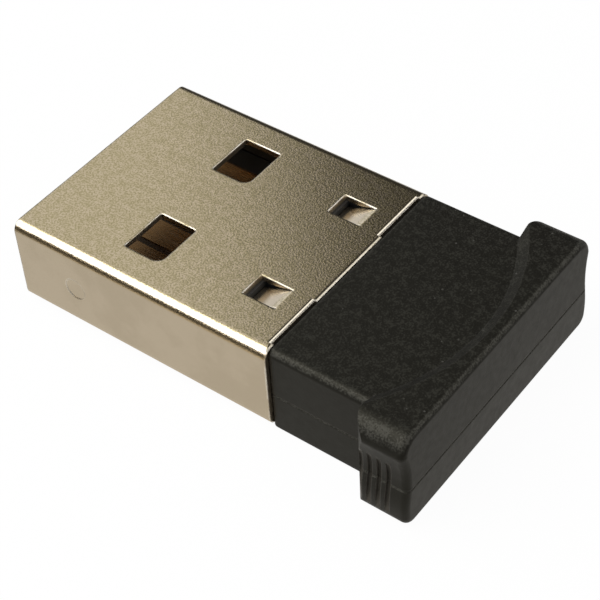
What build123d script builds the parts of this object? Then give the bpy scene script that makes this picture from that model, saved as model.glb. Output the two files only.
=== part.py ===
from build123d import *

import os
from math import cos, radians, sin

# All sizes in millimetres. X runs along the dongle, from the plug's mouth to the grip,
# Y runs across it, and Z points up from the surface that the grip stands on.

# Plug shell, a sheet folded round and closed by a seam underneath
shell_length = 14.0
shell_width = 12.0
shell_height = 4.5
sheet = 0.3
bend_radius = 0.5
window_start = 5.05         # from the mouth to the two contact windows
window_length = 2.0
window_width = 2.5
window_spacing = 6.1        # between the middles of a pair of openings
window_corner = 0.1
window_round = 0.45         # the one corner of each window that is rounder
latch_rear = 1.2            # from the shell's rear edge to the two latch openings
latch_length = 1.7
latch_width = 1.3
latch_gap = 0.06            # cut beside and in front of each latch tongue
latch_angle = 20.0          # how far the tongues are pressed in
seam_gap = 0.04
seam_tab_width = 1.6        # the seam's dovetail, at its root
seam_tab_flare = 0.5
seam_tab_depth = 1.4
relief_depth = 0.12         # the rear edge is cut back beside its middle
relief_inner = 2.35
relief_outer = 5.35
mark_radius = 0.55          # shallow round tool mark in each side
mark_depth = 0.03
mark_from_mouth = 3.3

# Housing, two moulded covers: a flat body with a wider grip across its end
body_length = 4.97
grip_length = 2.72
body_inset = 0.18           # the body is this much narrower than the shell on each side
body_rise = 0.05            # its top above the shell's top
body_drop = 0.20            # its underside below the shell's underside
body_top_edge = 0.35
body_low_edge = 0.25
body_front_edge = 0.20
grip_out = 1.34             # the grip stands out this far from the body's sides
grip_rise = 0.33            # from its top
grip_drop = 0.07            # and from its underside
waist_inset = 0.21          # the grip's ends, inwards from their rim: at the waist
hip_inset = 0.15            # between the waist and the belly
belly_inset = 0.06          # at the belly
base_inset = 0.16           # and at the underside
waist_z = 0.37              # heights of the first three from the plug's middle
hip_z = -0.55
belly_z = -1.25
rim_round = 0.95
rim_nose = 0.40             # rounding between the rim's round and the waist
grip_low_round = 0.60
grip_shoulder = 0.24        # flat front face between the body's side and the corner's round
grip_corner_out = 0.15      # that round would end this far outside the grip's end
grip_rear_round = 0.30      # all round its rear face
rear_lean = 3.0             # the upper cover's rear face leans forwards
dish_radius = 10.0          # the top's shallow dish ends in this arc
dish_rim = 1.14             # from the arc's middle to the grip's rear
dish_slope = 55.0
parting_drop = 0.30         # the covers meet this far below the plug's middle
parting_groove = 0.06
side_wall = 0.8
front_wall = 0.8
roof_wall = 0.7
grip_wall = 1.2
lip_height = 0.45
lip_width = 0.33
lip_gap = 0.04

# Upright grooves that leave ribs in the grip's ends
groove_width = 0.22
groove_pitch = 0.45
groove_first = 0.43         # from the grip's front to the middle of the first groove
groove_last = 0.65          # the least that the last one keeps from its rear
groove_depth = 0.15
groove_under_top = 1.40     # from the grip's top to the grooves
groove_over_base = 0.35     # from its underside to the grooves

# Circuit board and its gold contacts
board_drop = 0.05           # the board's face lies this far below the plug's middle
board_thickness = 0.8
board_rail = 1.07           # from the board's long edges to the inside of the shell
board_front = 1.0           # from the mouth
board_rear_gap = 0.25       # to the rear wall of the housing
board_chamfer = 0.4
contact_thickness = 0.05
contact_rear_gap = 0.4      # to the clamp
contact_edge_gap = 0.13     # to the board's long edges
contact_gap = 0.33          # between the outer and the inner contacts
power_start = 1.2
data_start = 2.1
data_inner = 0.37           # the inner pair, from the middle line
data_width = 1.35

# Carrier under the board, and the clamp over it that the shell's tongues hold
carrier_front = 0.4
insert_gap = 0.03           # between the moulded pieces and the shell
insert_corner = 0.25
nose_chamfer = 0.35
neck_inset = 0.33           # from the board's long edges to the neck's
neck_rise = 0.35            # from the carrier's underside to the neck's
collar_gap = 0.12           # between the collar's ends and the covers
collar_rise = 0.28
collar_length = 0.65
fit_gap = 0.02
clamp_length = 5.0
clamp_slot_half = 2.1
clamp_slot_wall = 0.3
clamp_roof = 0.35
pocket_margin = 0.15        # round each latch tongue

# Posts that locate the board and the covers
post_from_end = 1.65
post_radius = 0.4
post_gap = 0.05
post_rise = 1.0             # above the board
boss_radius = 0.9
support_inset = 1.23        # from the board's long edges to the middle of a rail
support_width = 0.6

# Components on the board: length along X, width along Y, height above the board
component_gap = 0.35
edge_gap = 0.25
row_gap = 0.15
radio_chip_side = 3.0
radio_chip_height = 0.85
crystal_length = 1.6
crystal_width = 1.2
crystal_height = 0.6
memory_chip_length = 2.0
memory_chip_width = 2.0
memory_chip_height = 0.75
antenna_length = 1.2
antenna_width = 3.2
antenna_height = 1.2
antenna_inset = 1.13        # from the board's long edge, clear of the boss
filter_length = 0.8
filter_width = 1.6
filter_height = 0.65
regulator_length = 2.9
regulator_width = 1.6
regulator_height = 1.1
regulator_lead_pitch = 0.95
regulator_lead_width = 0.4
regulator_lead_reach = 0.6
regulator_lead_sheet = 0.15
supply_part_length = 0.8    # the bead and the large capacitor, side by side
supply_part_width = 1.6
supply_part_height = 0.8
supply_part_y = 1.1
small_part_length = 0.5
small_part_width = 1.0
small_part_height = 0.5
end_cap = 0.2               # metal cap on each end of a small part
end_cap_proud = 0.02
resistor_y = 1.35
chip_bevel = 0.08
chip_dimple_inset = 0.6
chip_dimple_radius = 0.2
chip_dimple_depth = 0.05
crystal_lid = 0.15          # the lid's height, and its step in from the base

# Worked out from the sizes above
overall_length = shell_length + body_length + grip_length
mouth_x = -overall_length / 2
face_x = mouth_x + shell_length
grip_x = face_x + body_length
end_x = grip_x + grip_length

# Half widths, and heights above and below the plug's middle
body_half = shell_width / 2 - body_inset
body_above = shell_height / 2 + body_rise
body_below = shell_height / 2 + body_drop
grip_half = body_half + grip_out
grip_corner = grip_out + grip_corner_out - grip_shoulder
grip_above = body_above + grip_rise
grip_below = body_below + grip_drop
inner_half = shell_width / 2 - sheet
board_half = inner_half - board_rail
neck_half = board_half - neck_inset

plug_z = grip_below
parting_z = plug_z - parting_drop
inner_low = plug_z - shell_height / 2 + sheet
inner_high = plug_z + shell_height / 2 - sheet
board_top = plug_z - board_drop
board_low = board_top - board_thickness
floor_z = plug_z - body_below + roof_wall
ceiling_z = plug_z + body_above - roof_wall
cavity_front = face_x + front_wall
cavity_end = end_x - side_wall
cavity_half = body_half - side_wall
collar_half = cavity_half - collar_gap
board_end = cavity_end - board_rear_gap
clamp_x = face_x - clamp_length
contact_end_x = clamp_x - contact_rear_gap
data_outer = data_inner + data_width
power_inner = data_outer + contact_gap
power_outer = board_half - contact_edge_gap
post_x = end_x - post_from_end
support_y = board_half - support_inset
window_x = mouth_x + window_start + window_length / 2
latch_x = face_x - latch_rear - latch_length / 2
pair_y = window_spacing / 2
tongue_length = latch_length - latch_gap
groove_count = 1 + int((grip_length - groove_first - groove_last) / groove_pitch)

# Across the plug: local x is the model's Y, and local y is its Z from the plug's middle
plug_section = Plane(origin=(mouth_x, 0, plug_z), x_dir=(0, 1, 0), z_dir=(1, 0, 0))


def level(height):
    """A horizontal plane at a height above the rest surface."""
    return Plane.XY.offset(height)


def section_at(x):
    """The plane across the dongle at x, with the plug's middle as its origin."""
    return Plane(origin=(x, 0, plug_z), x_dir=(0, 1, 0), z_dir=(1, 0, 0))


def side_plane(y):
    """The plane along the dongle at y: local x is X, local y is Z from the plug's middle."""
    return Plane(origin=(0, y, plug_z), x_dir=(1, 0, 0), z_dir=(0, -1, 0))


def plate(height, thickness, x_from, x_to, y_from, y_to, mode=Mode.ADD):
    """A flat rectangular block that joins, or is cut from, the piece being made."""
    with BuildSketch(level(height)) as outline:
        with Locations(((x_from + x_to) / 2, (y_from + y_to) / 2)):
            Rectangle(x_to - x_from, y_to - y_from)
    extrude(outline.sketch, amount=thickness, mode=mode)


# Plug shell
def cut_window(y):
    """One contact window, through the top and the bottom, with its one rounder corner."""
    with BuildSketch(level(plug_z)) as opening:
        with Locations((window_x, y)):
            Rectangle(window_length, window_width)
        by_rounding = vertices().sort_by_distance((window_x + window_length, y - window_width))
        fillet(by_rounding[1:], window_corner)
        fillet(vertices().sort_by_distance((window_x + window_length, y - window_width))[0], window_round)
    extrude(opening.sketch, amount=shell_height, both=True, mode=Mode.SUBTRACT)


def add_latch(y, up):
    """A latch tongue, cut free on three sides and pressed inwards from its rear edge."""
    with BuildSketch(side_plane(y)) as tongue:
        with BuildLine():
            start = Vector(latch_x + latch_length / 2, up * shell_height / 2)
            along = Vector(-1, 0).rotate(Axis.Z, up * latch_angle)
            inward = Vector(0, -up).rotate(Axis.Z, up * latch_angle)
            Polyline(start, start + along * tongue_length, start + along * tongue_length + inward * sheet,
                     start + inward * sheet, close=True)
        make_face()
    extrude(tongue.sketch, amount=latch_width / 2 - latch_gap, both=True)


with BuildPart() as plug_shell:
    with BuildSketch(plug_section):
        RectangleRounded(shell_width, shell_height, bend_radius)
        RectangleRounded(shell_width - 2 * sheet, shell_height - 2 * sheet, bend_radius - sheet,
                         mode=Mode.SUBTRACT)
    extrude(amount=shell_length)
    for side in (-1, 1):
        cut_window(side * pair_y)
    with BuildSketch(level(plug_z)):
        with Locations((latch_x, pair_y), (latch_x, -pair_y)):
            Rectangle(latch_length, latch_width)
    extrude(amount=shell_height, both=True, mode=Mode.SUBTRACT)
    for side in (-1, 1):
        for up in (-1, 1):
            add_latch(side * pair_y, up)
    # The seam runs straight along the underside, round one dovetail
    with BuildSketch(level(plug_z - shell_height / 2)):
        with BuildLine():
            tab_x = mouth_x + shell_length / 2
            root = seam_tab_width / 2
            head = root + seam_tab_flare
            Polyline((mouth_x, 0), (tab_x - root, 0), (tab_x - head, seam_tab_depth),
                     (tab_x + head, seam_tab_depth), (tab_x + root, 0), (face_x, 0))
        trace(line_width=seam_gap)
    extrude(amount=sheet, mode=Mode.SUBTRACT)
    # The rear edge stands back a little beside its middle, above and below
    with BuildSketch(level(plug_z)):
        relief_y = (relief_inner + relief_outer) / 2
        with Locations((face_x - relief_depth / 2, relief_y), (face_x - relief_depth / 2, -relief_y)):
            Rectangle(relief_depth, relief_outer - relief_inner)
    extrude(amount=shell_height, both=True, mode=Mode.SUBTRACT)
    # Round tool marks
    for side in (-1, 1):
        with BuildSketch(side_plane(side * shell_width / 2)):
            with Locations((mouth_x + mark_from_mouth, 0)):
                Circle(mark_radius)
        extrude(amount=side * mark_depth, mode=Mode.SUBTRACT)
plug_shell.part.label = "plug_shell"


# Housing covers
def grip_side(side):
    """One end of the grip's section, from its top edge down to its underside."""
    waist = (side * (grip_half - waist_inset), waist_z)
    hip = (side * (grip_half - hip_inset), hip_z)
    nose = (side * grip_half, grip_above - rim_round)
    Line((0, grip_above), (side * (grip_half - rim_round), grip_above))
    RadiusArc((side * (grip_half - rim_round), grip_above), nose, side * rim_round)
    ThreePointArc(nose, waist, hip)
    base = (side * (grip_half - base_inset), -grip_below)
    ThreePointArc(hip, (side * (grip_half - belly_inset), belly_z), base)
    Line(base, (0, -grip_below))


def housing_form(lean):
    """The closed outer form of both covers together, its rear face leaning by an angle."""
    with BuildSketch(section_at(grip_x)) as grip:
        with BuildLine():
            grip_side(-1)
            grip_side(1)
        make_face()
        noses = vertices().sort_by_distance((0, grip_above - rim_round))
        fillet([v for v in noses if abs(v.Y - grip_above + rim_round) < rim_nose], rim_nose)
        fillet(vertices().group_by(Axis.Y)[0].sort_by(Axis.X)[0], grip_low_round)
        fillet(vertices().group_by(Axis.Y)[0].sort_by(Axis.X)[-1], grip_low_round)
    extrude(grip.sketch, amount=grip_length + grip_rear_round)
    split(bisect_by=Plane(origin=(end_x, 0, parting_z), z_dir=(cos(radians(lean)), 0, sin(radians(lean)))),
          keep=Keep.BOTTOM)
    fillet(faces().sort_by(Axis.X)[-1].edges(), grip_rear_round)
    with BuildSketch(level(parting_z)) as plan:
        with Locations((grip_x + grip_length, 0)):
            Rectangle(2 * grip_length, 2 * (grip_half + grip_corner_out))
        fillet(vertices().group_by(Axis.X)[0], grip_corner)
    extrude(plan.sketch, amount=plug_z + grip_above, both=True, mode=Mode.INTERSECT)
    with BuildSketch(section_at(face_x)) as body:
        with Locations((0, (body_above - body_below) / 2)):
            Rectangle(2 * body_half, body_above + body_below)
        fillet(vertices().group_by(Axis.Y)[-1], body_top_edge)
        fillet(vertices().group_by(Axis.Y)[0], body_low_edge)
    extrude(body.sketch, amount=body_length + grip_length / 2)
    fillet(faces().sort_by(Axis.X)[0].edges(), body_front_edge)
    # The top's dish runs back into the grip and ends in a sloping arc
    with BuildSketch(level(plug_z + body_above)) as dish:
        with Locations((end_x - dish_rim - dish_radius, 0)):
            Circle(dish_radius)
    extrude(dish.sketch, amount=grip_above - body_above, taper=-dish_slope, mode=Mode.SUBTRACT)


def cut_groove(side, x):
    """One upright groove, which follows the grip's end and runs out at its top and bottom."""
    top = (side * grip_half, grip_above - groove_under_top)
    waist = (side * (grip_half - waist_inset - groove_depth), waist_z)
    hip = (side * (grip_half - hip_inset - groove_depth), hip_z)
    belly = (side * (grip_half - belly_inset - groove_depth), belly_z)
    bottom = (side * grip_half, groove_over_base - grip_below)
    with BuildSketch(section_at(x - groove_width / 2)) as groove:
        with BuildLine():
            ThreePointArc(top, waist, hip)
            ThreePointArc(hip, belly, bottom)
            Polyline(bottom, (side * (grip_half + groove_depth), bottom[1]),
                     (side * (grip_half + groove_depth), top[1]), top)
        make_face()
    extrude(groove.sketch, amount=groove_width, mode=Mode.SUBTRACT)


def cut_all_grooves():
    """The grooves in both ends of the grip."""
    for side in (-1, 1):
        for index in range(groove_count):
            cut_groove(side, grip_x + groove_first + index * groove_pitch)


def cavity_plan(height, grow=0.0):
    """The inside of the covers seen from above, at a height, its edge moved out by grow."""
    with BuildSketch(level(height)) as plan:
        for x_from, half in ((cavity_front, cavity_half),
                             (grip_x + side_wall - grow, grip_half - grip_wall)):
            with Locations(((x_from + cavity_end + grow) / 2, 0)):
                Rectangle(cavity_end + grow - x_from, 2 * (half + grow))
    return plan.sketch


def lip_plan(outer, inner):
    """The ring that the covers' lip or its groove follows."""
    with BuildSketch(level(parting_z)) as ring:
        add(cavity_plan(0, outer))
        add(cavity_plan(0, inner), mode=Mode.SUBTRACT)
    return ring.sketch


def front_opening(z_from, z_to, half):
    """A slot through the covers' front wall, where the board or the carrier's neck passes."""
    plate(z_from, z_to - z_from, face_x - front_wall, cavity_front + front_wall, -half, half, Mode.SUBTRACT)


def bevel_edge(rim):
    """A small bevel round the outside of a cover where its rim meets the other cover."""
    chamfer(rim.outer_wire().edges(), parting_groove)


with BuildPart() as upper_cover:
    housing_form(rear_lean)
    split(bisect_by=level(parting_z), keep=Keep.TOP)
    bevel_edge(faces().sort_by(Axis.Z)[0])
    cut_all_grooves()
    extrude(cavity_plan(parting_z), amount=ceiling_z - parting_z, mode=Mode.SUBTRACT)
    front_opening(parting_z, board_top, board_half + fit_gap)
    # Bosses press the board down and take the lower cover's posts
    with BuildSketch(level(board_top)):
        with Locations((post_x, board_half), (post_x, -board_half)):
            Circle(boss_radius)
    extrude(amount=ceiling_z - board_top)
    with BuildSketch(level(board_top)):
        with Locations((post_x, board_half), (post_x, -board_half)):
            Circle(post_radius + post_gap)
    extrude(amount=ceiling_z - board_top, mode=Mode.SUBTRACT)
    extrude(lip_plan(lip_width + lip_gap, -lip_gap), amount=lip_height + lip_gap, mode=Mode.SUBTRACT)

with BuildPart() as lower_cover:
    housing_form(0)
    split(bisect_by=level(parting_z), keep=Keep.BOTTOM)
    bevel_edge(faces().sort_by(Axis.Z)[-1])
    cut_all_grooves()
    extrude(cavity_plan(floor_z), amount=parting_z - floor_z, mode=Mode.SUBTRACT)
    front_opening(board_low, parting_z, board_half + fit_gap)
    front_opening(inner_low + neck_rise, board_low, neck_half + fit_gap)
    extrude(lip_plan(lip_width, 0), amount=lip_height)
    # Rails that carry the board, and posts that stand in its notches
    for side in (-1, 1):
        plate(floor_z, board_low - floor_z, cavity_front + collar_length + component_gap, board_end,
              side * support_y - support_width / 2, side * support_y + support_width / 2)
    with BuildSketch(level(floor_z)):
        with Locations((post_x, board_half), (post_x, -board_half)):
            Circle(post_radius)
    extrude(amount=board_top + post_rise - floor_z)


# Carrier, the moulded tray that fills the lower half of the plug
latch_reach = tongue_length * sin(radians(latch_angle)) - sheet * (1 - cos(radians(latch_angle)))
latch_tip_x = latch_x + latch_length / 2 - tongue_length * cos(radians(latch_angle))
pocket_end_x = latch_x + latch_length / 2 + pocket_margin
pocket_half = latch_width / 2 + pocket_margin
insert_half = inner_half - insert_gap


def latch_pockets(height, depth):
    """Recesses that the shell's latch tongues stand in, from a height and as deep as asked."""
    for side in (-1, 1):
        plate(height, depth, latch_tip_x - fit_gap, pocket_end_x, side * pair_y - pocket_half,
              side * pair_y + pocket_half, Mode.SUBTRACT)


with BuildPart() as board_carrier:
    with BuildSketch(section_at(mouth_x + carrier_front)):
        with Locations((0, (inner_low + board_top) / 2 - plug_z)):
            Rectangle(2 * insert_half, board_top - inner_low)
        fillet(vertices().group_by(Axis.Y)[0], insert_corner)
    extrude(amount=shell_length - carrier_front)
    plate(board_low, board_top - board_low, mouth_x + board_front, face_x + front_wall,
          -board_half - fit_gap, board_half + fit_gap, Mode.SUBTRACT)
    chamfer(edges().filter_by(Axis.Y).group_by(Axis.X)[0].sort_by(Axis.Z)[-1], nose_chamfer)
    latch_pockets(inner_low, latch_reach + pocket_margin)
    # A neck through the housing's front wall, and a collar that locks behind it
    plate(inner_low + neck_rise, board_low - inner_low - neck_rise, face_x, cavity_front + fit_gap,
          -neck_half, neck_half)
    plate(inner_low + collar_rise, board_low - inner_low - collar_rise, cavity_front + fit_gap,
          cavity_front + collar_length, -collar_half, collar_half)


# Clamp, the moulded block over the board behind the plug's cavity
with BuildPart() as board_clamp:
    with BuildSketch(section_at(clamp_x)):
        with Locations((0, (board_top + inner_high) / 2 - plug_z)):
            Rectangle(2 * insert_half, inner_high - board_top)
        fillet(vertices().group_by(Axis.Y)[-1], insert_corner)
    extrude(amount=face_x - clamp_x)
    plate(board_top, inner_high - board_top - clamp_roof, clamp_x + clamp_slot_wall, face_x,
          -clamp_slot_half, clamp_slot_half, Mode.SUBTRACT)
    latch_pockets(inner_high, -latch_reach - pocket_margin)


# Circuit board, with notches for the posts
with BuildPart() as circuit_board:
    plate(board_low, board_thickness, mouth_x + board_front, board_end, -board_half, board_half)
    chamfer(edges().filter_by(Axis.Z).group_by(Axis.X)[0], board_chamfer)
    with BuildSketch(level(board_low)):
        with Locations((post_x, board_half), (post_x, -board_half)):
            Circle(post_radius + post_gap)
    extrude(amount=board_thickness, mode=Mode.SUBTRACT)


# Gold contacts, which lie on the board and face the plug's open half
def contact(side, inner, outer, start):
    """One contact strip on the side of the middle line that side gives."""
    with BuildPart() as strip:
        plate(board_top, contact_thickness, mouth_x + start, contact_end_x,
              min(side * inner, side * outer), max(side * inner, side * outer))
    return strip.part


# Components
slot_x = clamp_x + clamp_slot_wall
chip_x = cavity_front + row_gap
radio_chip_y = -board_half + edge_gap + radio_chip_side / 2
crystal_y = radio_chip_y + radio_chip_side / 2 + component_gap + crystal_width / 2
memory_chip_y = crystal_y + crystal_width / 2 + component_gap + memory_chip_width / 2
antenna_x = board_end - row_gap - antenna_length / 2
antenna_y = board_half - antenna_inset - antenna_width / 2
filter_x = board_end - row_gap - filter_length / 2
filter_y = antenna_y - antenna_width / 2 - component_gap - filter_width / 2
small_pitch = small_part_length + row_gap
supply_x = slot_x + fit_gap + supply_part_length / 2
regulator_x = supply_x + supply_part_length / 2 + row_gap + regulator_length / 2
resistor_x = regulator_x + regulator_length / 2 + row_gap + small_part_length / 2


def end_capped(x, y, length, width, height):
    """A two-ended part lying across the board, a body between two metal caps."""
    plate(board_top + end_cap_proud, height - 2 * end_cap_proud, x - length / 2 + end_cap_proud,
          x + length / 2 - end_cap_proud, y - width / 2 + end_cap, y + width / 2 - end_cap)
    for side in (-1, 1):
        middle = y + side * (width - end_cap) / 2
        plate(board_top, height, x - length / 2, x + length / 2, middle - end_cap / 2, middle + end_cap / 2)


def small_part(x, y):
    """One of the smallest parts, all of one size."""
    end_capped(x, y, small_part_length, small_part_width, small_part_height)


with BuildPart() as radio_chip:
    plate(board_top, radio_chip_height, chip_x, chip_x + radio_chip_side, radio_chip_y - radio_chip_side / 2,
          radio_chip_y + radio_chip_side / 2)
    chamfer(edges().group_by(Axis.Z)[-1], chip_bevel)
    # A round dimple marks the corner where the leads are counted from
    with BuildSketch(level(board_top + radio_chip_height)):
        with Locations((chip_x + chip_dimple_inset, radio_chip_y - radio_chip_side / 2 + chip_dimple_inset)):
            Circle(chip_dimple_radius)
    extrude(amount=-chip_dimple_depth, mode=Mode.SUBTRACT)

with BuildPart() as memory_chip:
    plate(board_top, memory_chip_height, chip_x, chip_x + memory_chip_length,
          memory_chip_y - memory_chip_width / 2, memory_chip_y + memory_chip_width / 2)
    chamfer(edges().group_by(Axis.Z)[-1], chip_bevel)

with BuildPart() as crystal:
    plate(board_top, crystal_height - crystal_lid, chip_x, chip_x + crystal_length,
          crystal_y - crystal_width / 2, crystal_y + crystal_width / 2)
    plate(board_top + crystal_height - crystal_lid, crystal_lid, chip_x + crystal_lid,
          chip_x + crystal_length - crystal_lid, crystal_y - crystal_width / 2 + crystal_lid,
          crystal_y + crystal_width / 2 - crystal_lid)

with BuildPart() as antenna:
    end_capped(antenna_x, antenna_y, antenna_length, antenna_width, antenna_height)

with BuildPart() as rf_filter:
    end_capped(filter_x, filter_y, filter_length, filter_width, filter_height)

with BuildPart() as voltage_regulator:
    lead_rise = regulator_height / 2
    plate(board_top + regulator_lead_sheet, regulator_height - regulator_lead_sheet,
          regulator_x - regulator_length / 2, regulator_x + regulator_length / 2, -regulator_width / 2,
          regulator_width / 2)
    chamfer(edges().group_by(Axis.Z)[-1], chip_bevel)
    for side, steps in ((-1, (-1, 0, 1)), (1, (-1, 1))):
        for step in steps:
            with BuildSketch(Plane(origin=(regulator_x + step * regulator_lead_pitch, 0, board_top),
                                   x_dir=(0, side, 0), z_dir=(side, 0, 0))):
                with BuildLine():
                    root = regulator_width / 2 - regulator_lead_sheet
                    toe = regulator_width / 2 + regulator_lead_reach
                    knee = toe - regulator_lead_reach / 2
                    inner_knee = knee - regulator_lead_sheet
                    Polyline((root, lead_rise), (knee, lead_rise), (knee, regulator_lead_sheet),
                             (toe, regulator_lead_sheet), (toe, 0), (inner_knee, 0),
                             (inner_knee, lead_rise - regulator_lead_sheet),
                             (root, lead_rise - regulator_lead_sheet), close=True)
                make_face()
            extrude(amount=regulator_lead_width / 2, both=True)

with BuildPart() as ferrite_bead:
    end_capped(supply_x, -supply_part_y, supply_part_length, supply_part_width, supply_part_height)

with BuildPart() as bulk_capacitor:
    end_capped(supply_x, supply_part_y, supply_part_length, supply_part_width, supply_part_height)

with BuildPart() as matching_inductor:
    small_part(chip_x + memory_chip_length + small_pitch - small_part_length / 2, memory_chip_y)

with BuildPart() as small_capacitors:
    small_part(resistor_x, 0)
    for place in (1, 2):
        small_part(chip_x + crystal_length + place * small_pitch - small_part_length / 2, crystal_y)

with BuildPart() as small_resistors:
    for side in (-1, 1):
        small_part(resistor_x, side * resistor_y)

pieces = {
    "plug_shell": plug_shell.part,
    "upper_cover": upper_cover.part,
    "lower_cover": lower_cover.part,
    "board_carrier": board_carrier.part,
    "board_clamp": board_clamp.part,
    "circuit_board": circuit_board.part,
    "contact_power": contact(-1, power_inner, power_outer, power_start),
    "contact_data_minus": contact(-1, data_inner, data_outer, data_start),
    "contact_data_plus": contact(1, data_inner, data_outer, data_start),
    "contact_ground": contact(1, power_inner, power_outer, power_start),
    "radio_chip": radio_chip.part,
    "memory_chip": memory_chip.part,
    "crystal": crystal.part,
    "antenna": antenna.part,
    "rf_filter": rf_filter.part,
    "voltage_regulator": voltage_regulator.part,
    "ferrite_bead": ferrite_bead.part,
    "bulk_capacitor": bulk_capacitor.part,
    "matching_inductor": matching_inductor.part,
    "small_capacitors": small_capacitors.part,
    "small_resistors": small_resistors.part,
}
os.makedirs("parts", exist_ok=True)
for name, piece in pieces.items():
    piece.label = name
    export_step(piece, f"parts/{name}.step")
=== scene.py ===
from math import cos, pi, radians, sin

import bpy
from mathutils import Matrix, Vector


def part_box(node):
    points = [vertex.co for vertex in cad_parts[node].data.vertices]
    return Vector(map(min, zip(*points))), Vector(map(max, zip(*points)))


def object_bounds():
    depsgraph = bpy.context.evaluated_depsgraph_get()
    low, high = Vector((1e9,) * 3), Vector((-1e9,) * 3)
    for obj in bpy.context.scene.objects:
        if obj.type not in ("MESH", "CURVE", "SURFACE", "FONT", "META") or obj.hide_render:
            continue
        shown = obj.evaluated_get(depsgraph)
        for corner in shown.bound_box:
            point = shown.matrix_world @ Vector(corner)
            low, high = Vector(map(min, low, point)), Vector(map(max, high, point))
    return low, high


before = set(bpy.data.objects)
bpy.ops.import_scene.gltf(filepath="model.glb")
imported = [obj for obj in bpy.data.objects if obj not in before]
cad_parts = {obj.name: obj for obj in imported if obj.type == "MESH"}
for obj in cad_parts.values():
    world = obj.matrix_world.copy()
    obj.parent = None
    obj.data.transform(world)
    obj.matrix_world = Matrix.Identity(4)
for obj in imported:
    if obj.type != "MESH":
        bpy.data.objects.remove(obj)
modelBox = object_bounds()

# Sizes in the dictionaries are in mm, unless the heading names another unit
mm = 0.001
scene = bpy.context.scene
print("model loaded:", len(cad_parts), "pieces")


# Shader helpers

def newMaterial(name):
    material = bpy.data.materials.new(name)
    material.use_nodes = True
    return material, material.node_tree, material.node_tree.nodes["Principled BSDF"]


# Inputs given as sockets are linked, others are set as values, and settings are the node's own options
def addNode(tree, kind, inputs, **settings):
    node = tree.nodes.new(kind)
    for key, value in settings.items():
        setattr(node, key, value)
    for key, item in inputs.items():
        if isinstance(item, bpy.types.NodeSocket):
            tree.links.new(item, node.inputs[key])
        else:
            node.inputs[key].default_value = item
    return node


def calculate(tree, operation, *items):
    return addNode(tree, "ShaderNodeMath", dict(enumerate(items)), operation=operation).outputs[0]


def combine(tree, operation, first, *others):
    for other in others:
        first = calculate(tree, operation, first, other)
    return first


def product(tree, *items):
    return combine(tree, "MULTIPLY", *items)


def total(tree, *items):
    return combine(tree, "ADD", *items)


def largest(tree, *items):
    return combine(tree, "MAXIMUM", *items)


def invert(tree, mask):
    return calculate(tree, "SUBTRACT", 1.0, mask)


def awayFrom(tree, value, place):
    return calculate(tree, "ABSOLUTE", calculate(tree, "SUBTRACT", value, place))


# 0 below the span and 1 above it, with a smooth rise between
def rise(tree, value, span):
    node = addNode(tree, "ShaderNodeMapRange", {"Value": value, "From Min": span[0], "From Max": span[1]},
                   interpolation_type="SMOOTHSTEP")
    return node.outputs["Result"]


def fall(tree, value, span):
    return invert(tree, rise(tree, value, span))


# Low where the mask is 0, high where it is 1
def between(tree, mask, low, high):
    return total(tree, product(tree, mask, high - low), low)


# The mix node's colours are its inputs 6 and 7, and its output 2
def mixColor(tree, mask, first, second):
    first, second = [(*color, 1) if isinstance(color, tuple) else color for color in (first, second)]
    return addNode(tree, "ShaderNodeMix", {0: mask, 6: first, 7: second}, data_type="RGBA").outputs[2]


# The mix node's numbers are its inputs 2 and 3, and its output 0
def mixNumber(tree, mask, first, second):
    return addNode(tree, "ShaderNodeMix", {0: mask, 2: first, 3: second}, data_type="FLOAT").outputs[0]


def noise(tree, vector, scale, look):
    return addNode(tree, "ShaderNodeTexNoise", {**look, "Vector": vector, "Scale": scale}).outputs["Fac"]


# How many pieces of this size in mm go into a metre
def perMetre(tree, size):
    return calculate(tree, "DIVIDE", 1 / mm, size)


def calculateVector(tree, operation, *items):
    return addNode(tree, "ShaderNodeVectorMath", dict(enumerate(items)), operation=operation).outputs


# 1 for two equal directions, and less the more they differ
def likeness(tree, first, second):
    return calculateVector(tree, "DOT_PRODUCT", first, second)["Value"]


def objectCoords(tree):
    return tree.nodes.new("ShaderNodeTexCoord").outputs["Object"]


def surfaceNormal(tree):
    return tree.nodes.new("ShaderNodeNewGeometry").outputs["Normal"]


def splitAxes(tree, vector):
    return addNode(tree, "ShaderNodeSeparateXYZ", {"Vector": vector}).outputs


def roundedNormal(tree, radius):
    return addNode(tree, "ShaderNodeBevel", {"Radius": radius}, samples=6).outputs["Normal"]


# Bump from a height, with its depth in mm, over a normal that rounds the edges where one is given
def addBump(tree, shader, height, strength, depth, normal=None):
    inputs = {"Height": height, "Strength": strength, "Distance": depth * mm}
    bump = addNode(tree, "ShaderNodeBump", inputs)
    if normal is not None:
        tree.links.new(normal, bump.inputs["Normal"])
    tree.links.new(bump.outputs["Normal"], shader.inputs["Normal"])


def newGroup(name, inputs, outputs):
    group = bpy.data.node_groups.new(name, "ShaderNodeTree")
    for label, default in inputs.items():
        socket = group.interface.new_socket(label, in_out="INPUT", socket_type="NodeSocketFloat")
        socket.default_value = default
    for label in outputs:
        group.interface.new_socket(label, in_out="OUTPUT", socket_type="NodeSocketFloat")
    return group, group.nodes.new("NodeGroupInput").outputs, group.nodes.new("NodeGroupOutput").inputs


def useGroup(tree, group, inputs):
    return addNode(tree, "ShaderNodeGroup", inputs, node_tree=group).outputs


def dress(name, material):
    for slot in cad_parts[name].material_slots:
        slot.material = material


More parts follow.
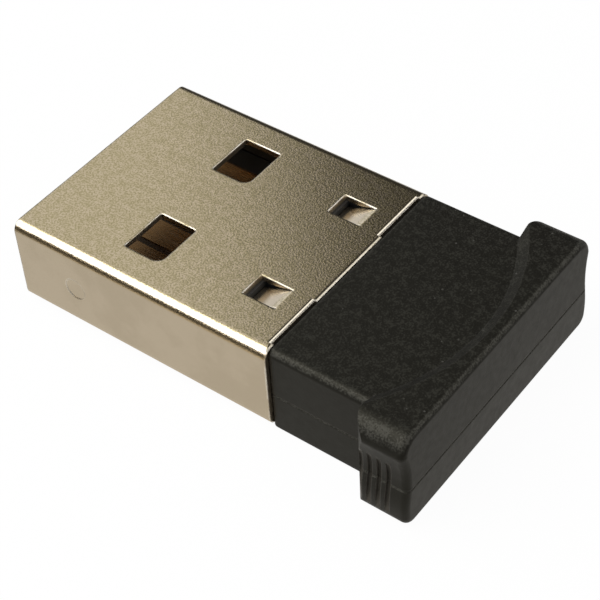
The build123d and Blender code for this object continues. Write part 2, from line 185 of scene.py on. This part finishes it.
# Fine grain: small rounded hills in object space, over broader ones
grainLook = {
    "fine": {"Detail": 3.0, "Roughness": 0.55}, "broad": {"Detail": 2.0, "Roughness": 0.5},
    "broadShare": 0.23,
}
fineGrain, given, result = newGroup("fineGrain", {"Size mm": 0.1, "Unevenness": 0.5}, ("Height", "Broad"))
coords = objectCoords(fineGrain)
frequency = perMetre(fineGrain, given["Size mm"])
broadFrequency = product(fineGrain, frequency, grainLook["broadShare"])
fine = noise(fineGrain, coords, frequency, grainLook["fine"])
broad = noise(fineGrain, coords, broadFrequency, grainLook["broad"])
height = total(fineGrain, fine, product(fineGrain, broad, given["Unevenness"]))
fineGrain.links.new(height, result["Height"])
fineGrain.links.new(broad, result["Broad"])

# Edge wear: a mask along the edges, broken up by noise
wearLook = {"bend": (0.01, 0.12), "breaks": (0.35, 0.62), "breakup": {"Detail": 3.0}}
edgeWear, given, result = newGroup(
    "edgeWear", {"Reach mm": 0.06, "Breakup mm": 0.3, "Amount": 0.7}, ("Mask",))
roundedOff = roundedNormal(edgeWear, product(edgeWear, given["Reach mm"], mm))
bend = invert(edgeWear, likeness(edgeWear, roundedOff, surfaceNormal(edgeWear)))
frequency = perMetre(edgeWear, given["Breakup mm"])
breakup = noise(edgeWear, objectCoords(edgeWear), frequency, wearLook["breakup"])
mask = product(edgeWear, rise(edgeWear, bend, wearLook["bend"]),
               rise(edgeWear, breakup, wearLook["breaks"]), given["Amount"])
edgeWear.links.new(mask, result["Mask"])

# Flat faces: 1 on the level top and bottom, 0 on the sides
flatFaces, given, result = newGroup("flatFaces", {"From": 0.75, "To": 0.97}, ("Mask",))
upright = calculate(flatFaces, "ABSOLUTE", splitAxes(flatFaces, surfaceNormal(flatFaces))["Z"])
flatFaces.links.new(rise(flatFaces, upright, (given["From"], given["To"])), result["Mask"])

# Specks: sparse dots, which the covers paint as glints on the grain
specks, given, result = newGroup("specks", {"Spacing mm": 0.6, "Size": 0.12, "Rarity": 0.6}, ("Mask",))
cells = addNode(specks, "ShaderNodeTexVoronoi",
                {"Vector": objectCoords(specks), "Scale": perMetre(specks, given["Spacing mm"])}).outputs
nearPoint = calculate(specks, "LESS_THAN", cells["Distance"], given["Size"])
chance = addNode(specks, "ShaderNodeSeparateColor", {"Color": cells["Color"]}).outputs["Red"]
chosen = calculate(specks, "GREATER_THAN", chance, given["Rarity"])
specks.links.new(product(specks, nearPoint, chosen), result["Mask"])
print("shader groups ready")


# Plug shell: folded sheet with a satin nickel plate, pressed grain on its flats, rough where it is cut
plugShell = {
    "flat": (0.535, 0.447, 0.312), "stained": (0.51, 0.427, 0.278), "pit": (0.36, 0.305, 0.175),
    "side": (0.515, 0.438, 0.327), "smudged": (0.475, 0.402, 0.295),
    # The fold colour is painted shade on the side of each fold. The pale bare colour is worn metal on the
    # edges and a painted highlight on the upper folds and the rear edge
    "foldShade": (0.50, 0.38, 0.22), "bareAndHighlight": (0.82, 0.77, 0.68),
    "roughTop": 0.14, "roughSide": 0.20, "roughCut": 0.40, "stainRoughens": 0.03,
    "grain": {"Size mm": 0.085, "Unevenness": 0.15}, "stains": (0.35, 0.70), "pits": (0.50, 0.66),
    "smudges": {"Size mm": 1.6, "Unevenness": 0.5}, "smudging": (0.60, 0.90),
    "wear": {"Reach mm": 0.15, "Breakup mm": 0.9, "Amount": 0.9},
    # How level a face is, for the grain and for the stretches of a fold, and how endwise a cut face
    "level": {"From": 0.15, "To": 0.85}, "foldLow": {"From": 0.10, "To": 0.30},
    "foldHigh": {"From": 0.55, "To": 0.80}, "foldTop": {"From": 0.90, "To": 0.97},
    "endFace": (0.80, 0.95),
    # The grain's height in mm, its share on each face, and how far below the outer faces it ends, in mm
    "grainHeight": 0.0055, "onFlats": 0.85, "onFolds": 2.4, "onSides": 0.12, "sunk": (0.12, 0.06),
    # Shares of the pale colour painted as a highlight on the upper folds and the rolled rear edge, and the
    # tilt of the rolled rear edge with its share in the middle
    "foldHighlightShare": 0.6, "rollHighlightShare": 0.9, "rollTilt": 1.1, "middleRoll": 0.45,
    # The rounding of the edges, the width of the roll, and the relief in the rear edge, all in mm
    "edge": 0.12, "rearEdge": 0.30, "roll": 0.22,
    "reliefFrom": 2.35, "reliefTo": 5.35, "reliefDepth": 0.12,
}
shellLow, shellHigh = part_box("plug_shell")
shellMiddle = (shellLow[2] + shellHigh[2]) / 2
outerFace = shellHigh[2] - shellMiddle
material, tree, shader = newMaterial("nickelPlate")
position = splitAxes(tree, objectCoords(tree))
grain = useGroup(tree, fineGrain, plugShell["grain"])

# The grain covers the outer flats, but not the sides or the tongues that are pressed in
outside = rise(tree, awayFrom(tree, position["Z"], shellMiddle),
               [outerFace - below * mm for below in plugShell["sunk"]])
grained = product(tree, useGroup(tree, flatFaces, plugShell["level"])["Mask"], outside)

# Each fold is stretched where it turns to the side, with a stronger grain and a browner, darker colour
# painted there as shade, and it has a pale colour painted as a highlight where it turns to the flat
foldLow = useGroup(tree, flatFaces, plugShell["foldLow"])["Mask"]
foldHigh = useGroup(tree, flatFaces, plugShell["foldHigh"])["Mask"]
foldTop = useGroup(tree, flatFaces, plugShell["foldTop"])["Mask"]
stretchedAndShaded = product(tree, foldLow, invert(tree, foldHigh))
foldHighlight = product(tree, foldHigh, invert(tree, foldTop))

# The rear edge is rolled over further than the others, most of all where it stands back, and the roll is
# painted pale as a highlight
aside = calculate(tree, "ABSOLUTE", position["Y"])
standsBack = product(tree, calculate(tree, "GREATER_THAN", aside, plugShell["reliefFrom"] * mm),
                     calculate(tree, "LESS_THAN", aside, plugShell["reliefTo"] * mm))
edgeAt = calculate(tree, "SUBTRACT", shellHigh[0],
                   product(tree, standsBack, plugShell["reliefDepth"] * mm))
beforeEdge = calculate(tree, "SUBTRACT", edgeAt, position["X"])
rolled = product(tree, fall(tree, beforeEdge, (0.0, plugShell["roll"] * mm)), grained,
                 between(tree, standsBack, plugShell["middleRoll"], 1.0))

stained = rise(tree, grain["Broad"], plugShell["stains"])
smudged = rise(tree, useGroup(tree, fineGrain, plugShell["smudges"])["Height"], plugShell["smudging"])
# Painted highlight: the pale colour on the upper folds and the rolled rear edge
paintedHighlight = largest(tree, product(tree, foldHighlight, plugShell["foldHighlightShare"]),
                product(tree, rolled, plugShell["rollHighlightShare"]))
flats = mixColor(tree, stained, plugShell["flat"], plugShell["stained"])
flats = mixColor(tree, rise(tree, grain["Height"], plugShell["pits"]), flats, plugShell["pit"])
sides = mixColor(tree, smudged, plugShell["side"], plugShell["smudged"])
plated = mixColor(tree, grained, sides, flats)
# Painted shade: a browner, darker colour on the side of each fold, then the painted highlight in the pale
# colour
plated = mixColor(tree, stretchedAndShaded, plated, plugShell["foldShade"])
plated = mixColor(tree, paintedHighlight, plated, plugShell["bareAndHighlight"])
plated = mixColor(tree, useGroup(tree, edgeWear, plugShell["wear"])["Mask"], plated, plugShell["bareAndHighlight"])
tree.links.new(plated, shader.inputs["Base Color"])
shader.inputs["Metallic"].default_value = 1.0

endwise = calculate(tree, "ABSOLUTE", splitAxes(tree, surfaceNormal(tree))["X"])
cut = rise(tree, endwise, plugShell["endFace"])
roughness = total(tree, between(tree, grained, plugShell["roughSide"], plugShell["roughTop"]),
                  product(tree, stained, plugShell["stainRoughens"]),
                  product(tree, cut, plugShell["roughCut"] - plugShell["roughSide"]))
tree.links.new(roughness, shader.inputs["Roughness"])

depth = total(tree, product(tree, grained, plugShell["onFlats"]),
              product(tree, stretchedAndShaded, plugShell["onFolds"]), plugShell["onSides"])
relief = product(tree, grain["Height"], depth, invert(tree, rolled))
rounded = roundedNormal(tree, between(tree, rolled, plugShell["edge"] * mm, plugShell["rearEdge"] * mm))
push = addNode(tree, "ShaderNodeCombineXYZ", {"X": product(tree, rolled, plugShell["rollTilt"])})
tilted = calculateVector(tree, "ADD", rounded, push.outputs[0])[0]
tilted = calculateVector(tree, "NORMALIZE", tilted)[0]
addBump(tree, shader, relief, 1.0, plugShell["grainHeight"], tilted)
dress("plug_shell", material)
print("plug shell dressed")


# Covers: black moulded plastic, leather grain on the top and bottom, smoother round the sides
covers = {
    "color": (0.0062, 0.0058, 0.0046), "glintFleck": (0.020, 0.0195, 0.016), "worn": (0.055, 0.053, 0.046),
    "glintSpeck": (0.060, 0.058, 0.052), "dust": (0.046, 0.041, 0.034),
    "roughness": (0.34, 0.50), "ior": 1.255, "tint": (1.0, 0.95, 0.74, 1),
    "grain": {"Size mm": 0.085, "Unevenness": 0.45}, "grainHeight": 0.016, "onSides": 0.25,
    "level": {"From": 0.35, "To": 0.75}, "edge": 0.08, "flecks": (0.70, 0.86),
    "specks": {"Spacing mm": 0.55, "Size": 0.09},
    "wear": {"Reach mm": 0.09, "Breakup mm": 0.16, "Amount": 0.6},
    # Rubbed and painted as a highlight is what turns up between these two spans and doesn't face forwards,
    # more in some spots
    "rubAndHighlightAbove": (0.25, 0.60), "rubAndHighlightBelow": (0.88, 0.985), "rubAndHighlightBehind": -0.3,
    "rubAndHighlightSpots": (0.60, 0.86), "leastRubAndHighlight": 0.15, "mostRubAndHighlight": 0.75,
}
# The grooves at the grip's ends in mm, as in the solid, and how far the dust in them reaches
ribs = {
    "fromRear": 2.29, "pitch": 0.45, "count": 4, "width": 0.22, "beyond": 6.55,
    "dustBeside": 0.009, "dustFrom": (0.40, 0.70), "dustTo": (3.22, 3.72),
}
material, tree, shader = newMaterial("blackCover")
shader.inputs["IOR"].default_value = covers["ior"]
shader.inputs["Specular Tint"].default_value = covers["tint"]
grain = useGroup(tree, fineGrain, covers["grain"])
level = useGroup(tree, flatFaces, covers["level"])["Mask"]
# Painted glints: light specks, and light flecks on the grain's hills, on the level faces
glintSpecks = product(tree, useGroup(tree, specks, covers["specks"])["Mask"], level)
glintFlecks = product(tree, rise(tree, grain["Height"], covers["flecks"]), level)

# Dust lies in the grooves of the grip's ends
position = splitAxes(tree, objectCoords(tree))
firstGroove = modelBox[1][0] - ribs["fromRear"] * mm
groovesAlong = calculate(tree, "DIVIDE", calculate(tree, "SUBTRACT", position["X"], firstGroove),
                         ribs["pitch"] * mm)
nearest = calculate(tree, "ROUND", groovesAlong)
inGroove = calculate(tree, "LESS_THAN", awayFrom(tree, groovesAlong, nearest),
                     (ribs["width"] / 2 + ribs["dustBeside"]) / ribs["pitch"])
inRow = calculate(tree, "LESS_THAN", awayFrom(tree, nearest, (ribs["count"] - 1) / 2), ribs["count"] / 2)
atEnd = calculate(tree, "GREATER_THAN", calculate(tree, "ABSOLUTE", position["Y"]), ribs["beyond"] * mm)
inHeight = product(tree, rise(tree, position["Z"], [height * mm for height in ribs["dustFrom"]]),
                   fall(tree, position["Z"], [height * mm for height in ribs["dustTo"]]))
dusty = product(tree, inGroove, inRow, atEnd, inHeight)

# Rounded upper edges are painted pale in spots, partly as rubbed wear and partly as a painted highlight
# chosen by which way they face
facing = splitAxes(tree, surfaceNormal(tree))
rubbedAndHighlitEdge = product(tree, rise(tree, facing["Z"], covers["rubAndHighlightAbove"]),
                      fall(tree, facing["Z"], covers["rubAndHighlightBelow"]),
                      calculate(tree, "GREATER_THAN", facing["X"], covers["rubAndHighlightBehind"]))
spots = between(tree, rise(tree, grain["Height"], covers["rubAndHighlightSpots"]),
                covers["leastRubAndHighlight"], covers["mostRubAndHighlight"])

moulded = mixColor(tree, glintSpecks, covers["color"], covers["glintSpeck"])
moulded = mixColor(tree, glintFlecks, moulded, covers["glintFleck"])
moulded = mixColor(tree, dusty, moulded, covers["dust"])
# Partly painted highlight: the worn colour on the rounded upper edges
moulded = mixColor(tree, product(tree, rubbedAndHighlitEdge, spots), moulded, covers["worn"])
moulded = mixColor(tree, useGroup(tree, edgeWear, covers["wear"])["Mask"], moulded, covers["worn"])
tree.links.new(moulded, shader.inputs["Base Color"])
tree.links.new(between(tree, grain["Broad"], *covers["roughness"]), shader.inputs["Roughness"])
relief = product(tree, grain["Height"], between(tree, level, covers["onSides"], 1.0))
addBump(tree, shader, relief, 1.0, covers["grainHeight"], roundedNormal(tree, covers["edge"] * mm))
for name in ("upper_cover", "lower_cover"):
    dress(name, material)
print("covers dressed")


# Two colours mottled by a fine grain, which also roughens the surface and raises it a little
def dressMottled(materialName, look, names):
    material, tree, shader = newMaterial(materialName)
    grain = useGroup(tree, fineGrain, {"Size mm": look["grainSize"]})
    mottled = mixColor(tree, grain["Broad"], look["color"], look["mottle"])
    tree.links.new(mottled, shader.inputs["Base Color"])
    tree.links.new(between(tree, grain["Broad"], *look["roughness"]), shader.inputs["Roughness"])
    shader.inputs["Metallic"].default_value = look["metallic"]
    addBump(tree, shader, grain["Height"], look["bump"], look["grainHeight"],
            roundedNormal(tree, look["edge"] * mm))
    for name in names:
        dress(name, material)


# Inserts: the carrier and the clamp, plain black with a fine moulded texture
inserts = {
    "color": (0.012, 0.012, 0.012), "mottle": (0.020, 0.020, 0.020), "roughness": (0.50, 0.60),
    "metallic": 0.0, "grainSize": 0.06, "grainHeight": 0.006, "bump": 0.6, "edge": 0.03,
}
dressMottled("blackInsert", inserts, ("board_carrier", "board_clamp"))


# Board: dark solder mask over faint copper traces, bare laminate on its edges
board = {
    "mask": (0.035, 0.016, 0.010), "trace": (0.055, 0.026, 0.014), "laminate": (0.30, 0.26, 0.13),
    "level": {"From": 0.7, "To": 0.9}, "roughness": (0.20, 0.35), "gloss": {"Size mm": 0.15},
    "pitch": 0.35, "traceWidth": 0.084, "traceHeight": 0.01, "bump": 0.4, "edge": 0.02,
}
material, tree, shader = newMaterial("solderMask")
# The brick texture has four rows in its unit, and half the width of a trace is on either brick
brickUnit = 4 * board["pitch"]
traces = addNode(tree, "ShaderNodeTexBrick", {
    "Vector": objectCoords(tree), "Scale": 1 / (brickUnit * mm),
    "Mortar Size": board["traceWidth"] / 2 / brickUnit,
    "Color1": (0, 0, 0, 1), "Color2": (0, 0, 0, 1), "Mortar": (1, 1, 1, 1),
}).outputs
masked = mixColor(tree, traces["Color"], board["mask"], board["trace"])
level = useGroup(tree, flatFaces, board["level"])["Mask"]
gloss = useGroup(tree, fineGrain, board["gloss"])["Broad"]
tree.links.new(mixColor(tree, level, board["laminate"], masked), shader.inputs["Base Color"])
tree.links.new(between(tree, gloss, *board["roughness"]), shader.inputs["Roughness"])
addBump(tree, shader, traces["Fac"], board["bump"], board["traceHeight"],
        roundedNormal(tree, board["edge"] * mm))
dress("circuit_board", material)


# Contacts: hard gold plate, darkened as painted shade of the plug's inside, brushed along the plug where it
# rubs in a socket
shadedContacts = {
    "color": (0.40, 0.28, 0.17), "worn": (0.35, 0.26, 0.18), "roughness": (0.22, 0.37),
    "perMetre": (600, 16000, 4000), "scratches": {"Detail": 3.0}, "rubbed": (0.45, 0.70),
    "bump": 0.5, "scratchDepth": 0.002,
}
material, tree, shader = newMaterial("goldPlateInShade")
drawnOut = addNode(tree, "ShaderNodeMapping", {"Vector": objectCoords(tree), "Scale": shadedContacts["perMetre"]})
scratches = noise(tree, drawnOut.outputs["Vector"], 1.0, shadedContacts["scratches"])
rubbed = rise(tree, scratches, shadedContacts["rubbed"])
tree.links.new(mixColor(tree, rubbed, shadedContacts["color"], shadedContacts["worn"]), shader.inputs["Base Color"])
tree.links.new(between(tree, rubbed, *shadedContacts["roughness"]), shader.inputs["Roughness"])
shader.inputs["Metallic"].default_value = 1.0
addBump(tree, shader, scratches, shadedContacts["bump"], shadedContacts["scratchDepth"])
for name in ("contact_power", "contact_data_minus", "contact_data_plus", "contact_ground"):
    dress(name, material)


# Chips: matt black packages
chips = {
    "color": (0.018, 0.018, 0.020), "mottle": (0.030, 0.030, 0.032), "roughness": (0.50, 0.60),
    "metallic": 0.0, "grainSize": 0.05, "grainHeight": 0.006, "bump": 0.5, "edge": 0.02,
}
dressMottled("chipPackage", chips, ("radio_chip", "memory_chip", "voltage_regulator"))


# Crystal: a pressed can with a dull nickel plate
crystal = {
    "color": (0.55, 0.53, 0.48), "mottle": (0.45, 0.43, 0.39), "roughness": (0.25, 0.40),
    "metallic": 1.0, "grainSize": 0.08, "grainHeight": 0.004, "bump": 0.4, "edge": 0.03,
}
dressMottled("crystalCan", crystal, ("crystal",))


# Fired parts: mottled bodies of one finish, each in a pair of colours of its own
fired = {
    "roughness": (0.35, 0.50), "metallic": 0.0, "grainSize": 0.06, "grainHeight": 0.005, "bump": 0.4,
    "edge": 0.02,
}
firedColors = {
    "antenna": ((0.62, 0.68, 0.70), (0.50, 0.56, 0.60)),
    "rf_filter": ((0.55, 0.52, 0.45), (0.45, 0.42, 0.36)),
    "ferrite_bead": ((0.05, 0.05, 0.055), (0.08, 0.08, 0.085)),
    "bulk_capacitor": ((0.36, 0.25, 0.14), (0.30, 0.20, 0.11)),
    "matching_inductor": ((0.58, 0.60, 0.62), (0.48, 0.50, 0.52)),
    "small_capacitors": ((0.40, 0.29, 0.17), (0.33, 0.23, 0.13)),
    "small_resistors": ((0.015, 0.015, 0.017), (0.03, 0.03, 0.032)),
}
for name, (color, mottle) in firedColors.items():
    dressMottled(name + "Body", {**fired, "color": color, "mottle": mottle}, (name,))
print("board and its parts dressed")


# Floor, in metres: white with a faint shadow, and in reflections dimmer, most of all further out
floorLook = {
    "radius": 0.5, "sides": 96, "matt": (0.9, 0.9, 0.9, 1), "glow": 0.965,
    "direct": (1.0, 1.0, 1.0), "mirrored": (1.0, 0.97, 0.91),
    "further": (0.018, 0.028), "dimNear": 0.19, "dimFar": 0.90,
}
bpy.ops.object.select_all(action="DESELECT")
bpy.ops.mesh.primitive_circle_add(vertices=floorLook["sides"], radius=floorLook["radius"], fill_type="NGON")
floor = bpy.context.object
floor.name = "floor"
floor.data.name = "floor"
material = bpy.data.materials.new("floorWhite")
material.use_nodes = True
tree = material.node_tree
tree.nodes.clear()
ray = tree.nodes.new("ShaderNodeLightPath").outputs
further = rise(tree, calculateVector(tree, "LENGTH", objectCoords(tree))["Value"], floorLook["further"])
dim = between(tree, further, floorLook["dimNear"], floorLook["dimFar"])
glowing = addNode(tree, "ShaderNodeEmission", {
    "Color": mixColor(tree, ray["Is Glossy Ray"], floorLook["direct"], floorLook["mirrored"]),
    "Strength": invert(tree, product(tree, ray["Is Glossy Ray"], dim)),
}).outputs[0]
matt = addNode(tree, "ShaderNodeBsdfDiffuse", {"Color": floorLook["matt"]}).outputs[0]
inView = largest(tree, ray["Is Camera Ray"], ray["Is Glossy Ray"], ray["Is Transmission Ray"])
share = product(tree, inView, floorLook["glow"])
blend = addNode(tree, "ShaderNodeMixShader", {0: share, 1: matt, 2: glowing})
addNode(tree, "ShaderNodeOutputMaterial", {"Surface": blend.outputs[0]})
floor.data.materials.append(material)
print("floor laid")


# World: white behind the object, an even light on matt surfaces, and in reflections a lit room
world = {
    "ambient": 0.50, "white": 0.98, "dark": 0.055, "horizon": (0.06, 0.20),
    # The lit side, in degrees, and on the other side a dark screen, which the rear of the plug mirrors
    "litFrom": 220.5, "screenStart": (-0.05, 0.03), "screenEnd": (-0.62, -0.35),
    "screenBehind": (0.0, 0.25),
    # A low dark strip in front, which the near fold mirrors
    "stripFront": (-0.70, -0.45), "stripLeft": (-0.35, -0.15), "stripTop": (0.42, 0.60),
    # A bright card above the near fold
    "card": 0.85, "cardDirection": (0.62, 0.55, 0.56), "cardEdge": (0.90, 0.96),
}
scene.world = bpy.data.worlds.new("studio")
scene.world.use_nodes = True
tree = scene.world.node_tree
tree.nodes.clear()
direction = tree.nodes.new("ShaderNodeTexCoord").outputs["Generated"]
towards = splitAxes(tree, direction)
litSide = total(tree, product(tree, towards["X"], cos(radians(world["litFrom"]))),
                product(tree, towards["Y"], sin(radians(world["litFrom"]))))
screen = product(tree, fall(tree, litSide, world["screenStart"]), rise(tree, litSide, world["screenEnd"]),
                 rise(tree, towards["Y"], world["screenBehind"]))
strip = product(tree, fall(tree, towards["Y"], world["stripFront"]),
                fall(tree, towards["X"], world["stripLeft"]), fall(tree, towards["Z"], world["stripTop"]))
lit = product(tree, invert(tree, largest(tree, screen, strip)),
              rise(tree, towards["Z"], world["horizon"]))
card = rise(tree, likeness(tree, direction, world["cardDirection"]), world["cardEdge"])
room = total(tree, between(tree, lit, world["dark"], world["white"]), product(tree, card, world["card"]))
ray = tree.nodes.new("ShaderNodeLightPath").outputs
light = mixNumber(tree, ray["Is Glossy Ray"], world["ambient"], room)
light = mixNumber(tree, largest(tree, ray["Is Camera Ray"], ray["Is Transmission Ray"]), light, 1.0)
background = addNode(tree, "ShaderNodeBackground", {"Color": (1, 1, 1, 1), "Strength": light})
addNode(tree, "ShaderNodeOutputWorld", {"Surface": background.outputs[0]})


# Softboxes, in metres and watts
softboxes = {
    "keyLight": {"direction": (-0.50, -0.38, 0.78), "distance": 0.30, "size": 0.33, "power": 0.80},
    "fillLight": {"direction": (0.80, -0.45, 0.40), "distance": 0.30, "size": 0.10, "power": 0.04},
}
for name, softbox in softboxes.items():
    lamp = bpy.data.lights.new(name, "AREA")
    lamp.shape = "DISK"
    lamp.size = softbox["size"]
    lamp.energy = softbox["power"]
    lampObject = bpy.data.objects.new(name, lamp)
    scene.collection.objects.link(lampObject)
    place = Vector(softbox["direction"]).normalized() * softbox["distance"]
    lampObject.location = place
    lampObject.rotation_euler = (-place).to_track_quat("-Z", "Y").to_euler()
print("studio lit")


# Camera, fitted to the photograph: angles in degrees, places in metres, lens and sensor in mm
view = {
    "azimuth": 39.35, "elevation": 45.14, "roll": -3.767, "distance": 0.07417,
    "target": (0.000937, -0.000767, 0.00227), "clipFrom": 0.001, "clipTo": 10,
    "lens": 101.71, "sensor": 36,
}
cameraData = bpy.data.cameras.new("camera")
cameraData.lens = view["lens"]
cameraData.sensor_width = view["sensor"]
cameraData.clip_start = view["clipFrom"]
cameraData.clip_end = view["clipTo"]
camera = bpy.data.objects.new("camera", cameraData)
scene.collection.objects.link(camera)
azimuth = radians(view["azimuth"])
elevation = radians(view["elevation"])
away = Vector((sin(azimuth) * cos(elevation), -cos(azimuth) * cos(elevation), sin(elevation)))
turn = (Matrix.Rotation(azimuth, 4, "Z") @ Matrix.Rotation(pi / 2 - elevation, 4, "X")
        @ Matrix.Rotation(radians(view["roll"]), 4, "Z"))
camera.matrix_world = Matrix.Translation(Vector(view["target"]) + away * view["distance"]) @ turn
scene.camera = camera
scene.view_settings.view_transform = "Standard"
print("camera placed")
